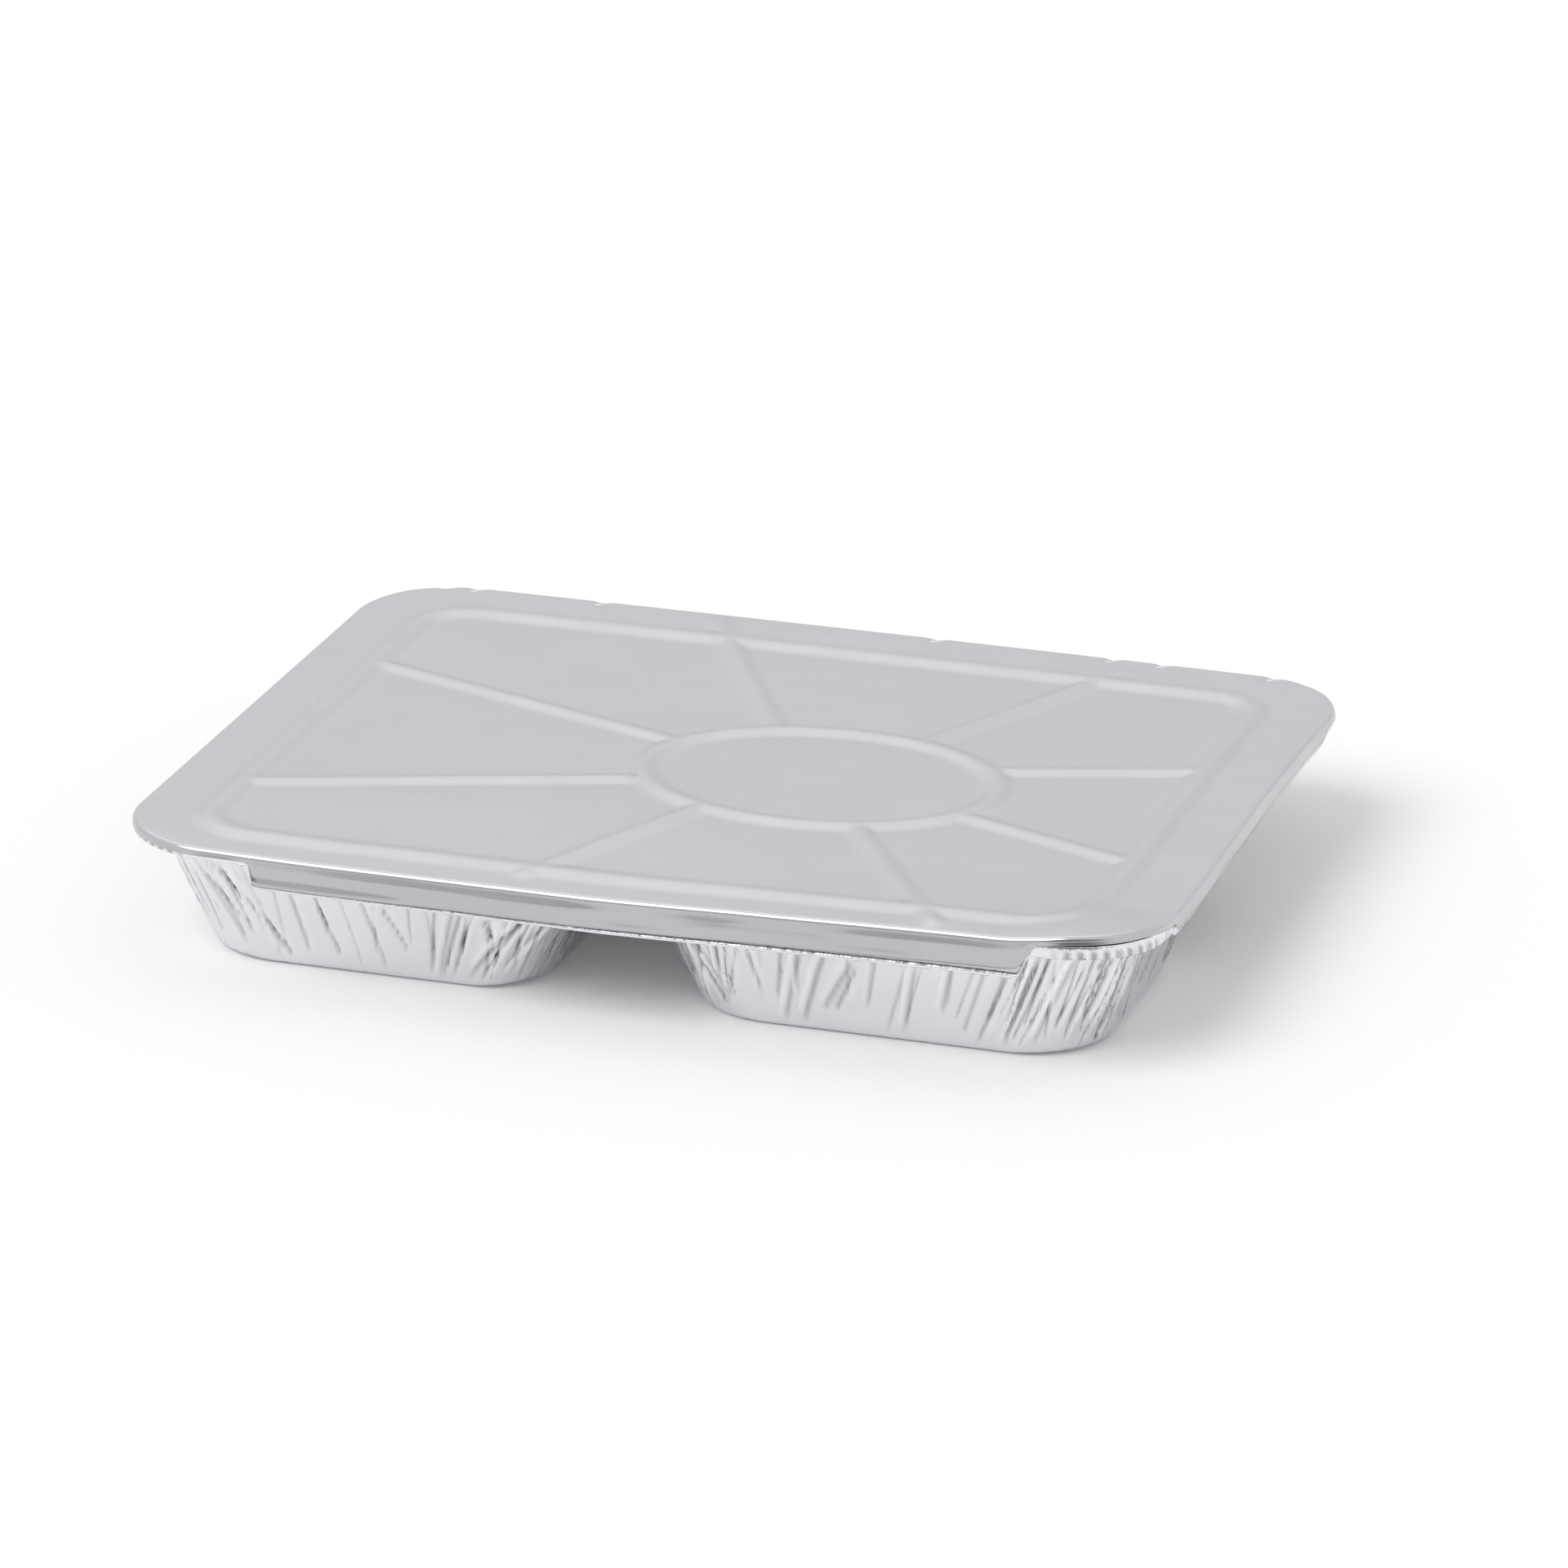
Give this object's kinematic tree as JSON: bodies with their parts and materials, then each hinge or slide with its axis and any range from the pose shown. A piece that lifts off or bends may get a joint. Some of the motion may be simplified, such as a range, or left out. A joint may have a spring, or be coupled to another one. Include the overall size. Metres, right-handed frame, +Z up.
{
  "type": "foil food container",
  "caption": "Divided aluminium foil food tray with pleated walls, closed by an embossed foil lid folded down over its rim.",
  "frame": {"origin": "middle of the footprint, on the surface that the tray stands on", "axes": "+X along the long side, +Y from the two small pockets in front to the long pocket behind, +Z up"},
  "size_m": [0.227, 0.177, 0.0312],
  "materials": {
    "tray_foil": "bright pressed foil",
    "lid_foil": "matt embossed foil"
  },
  "bodies": {
    "tray": {"tray": "tray_foil"},
    "lid": {"lid": "lid_foil"}
  },
  "joints": [
    {"name": "lid_lift", "type": "slide", "parent": "tray", "child": "lid", "axis": [0, 0, 1], "range_m": [0, 0.05]}
  ]
}
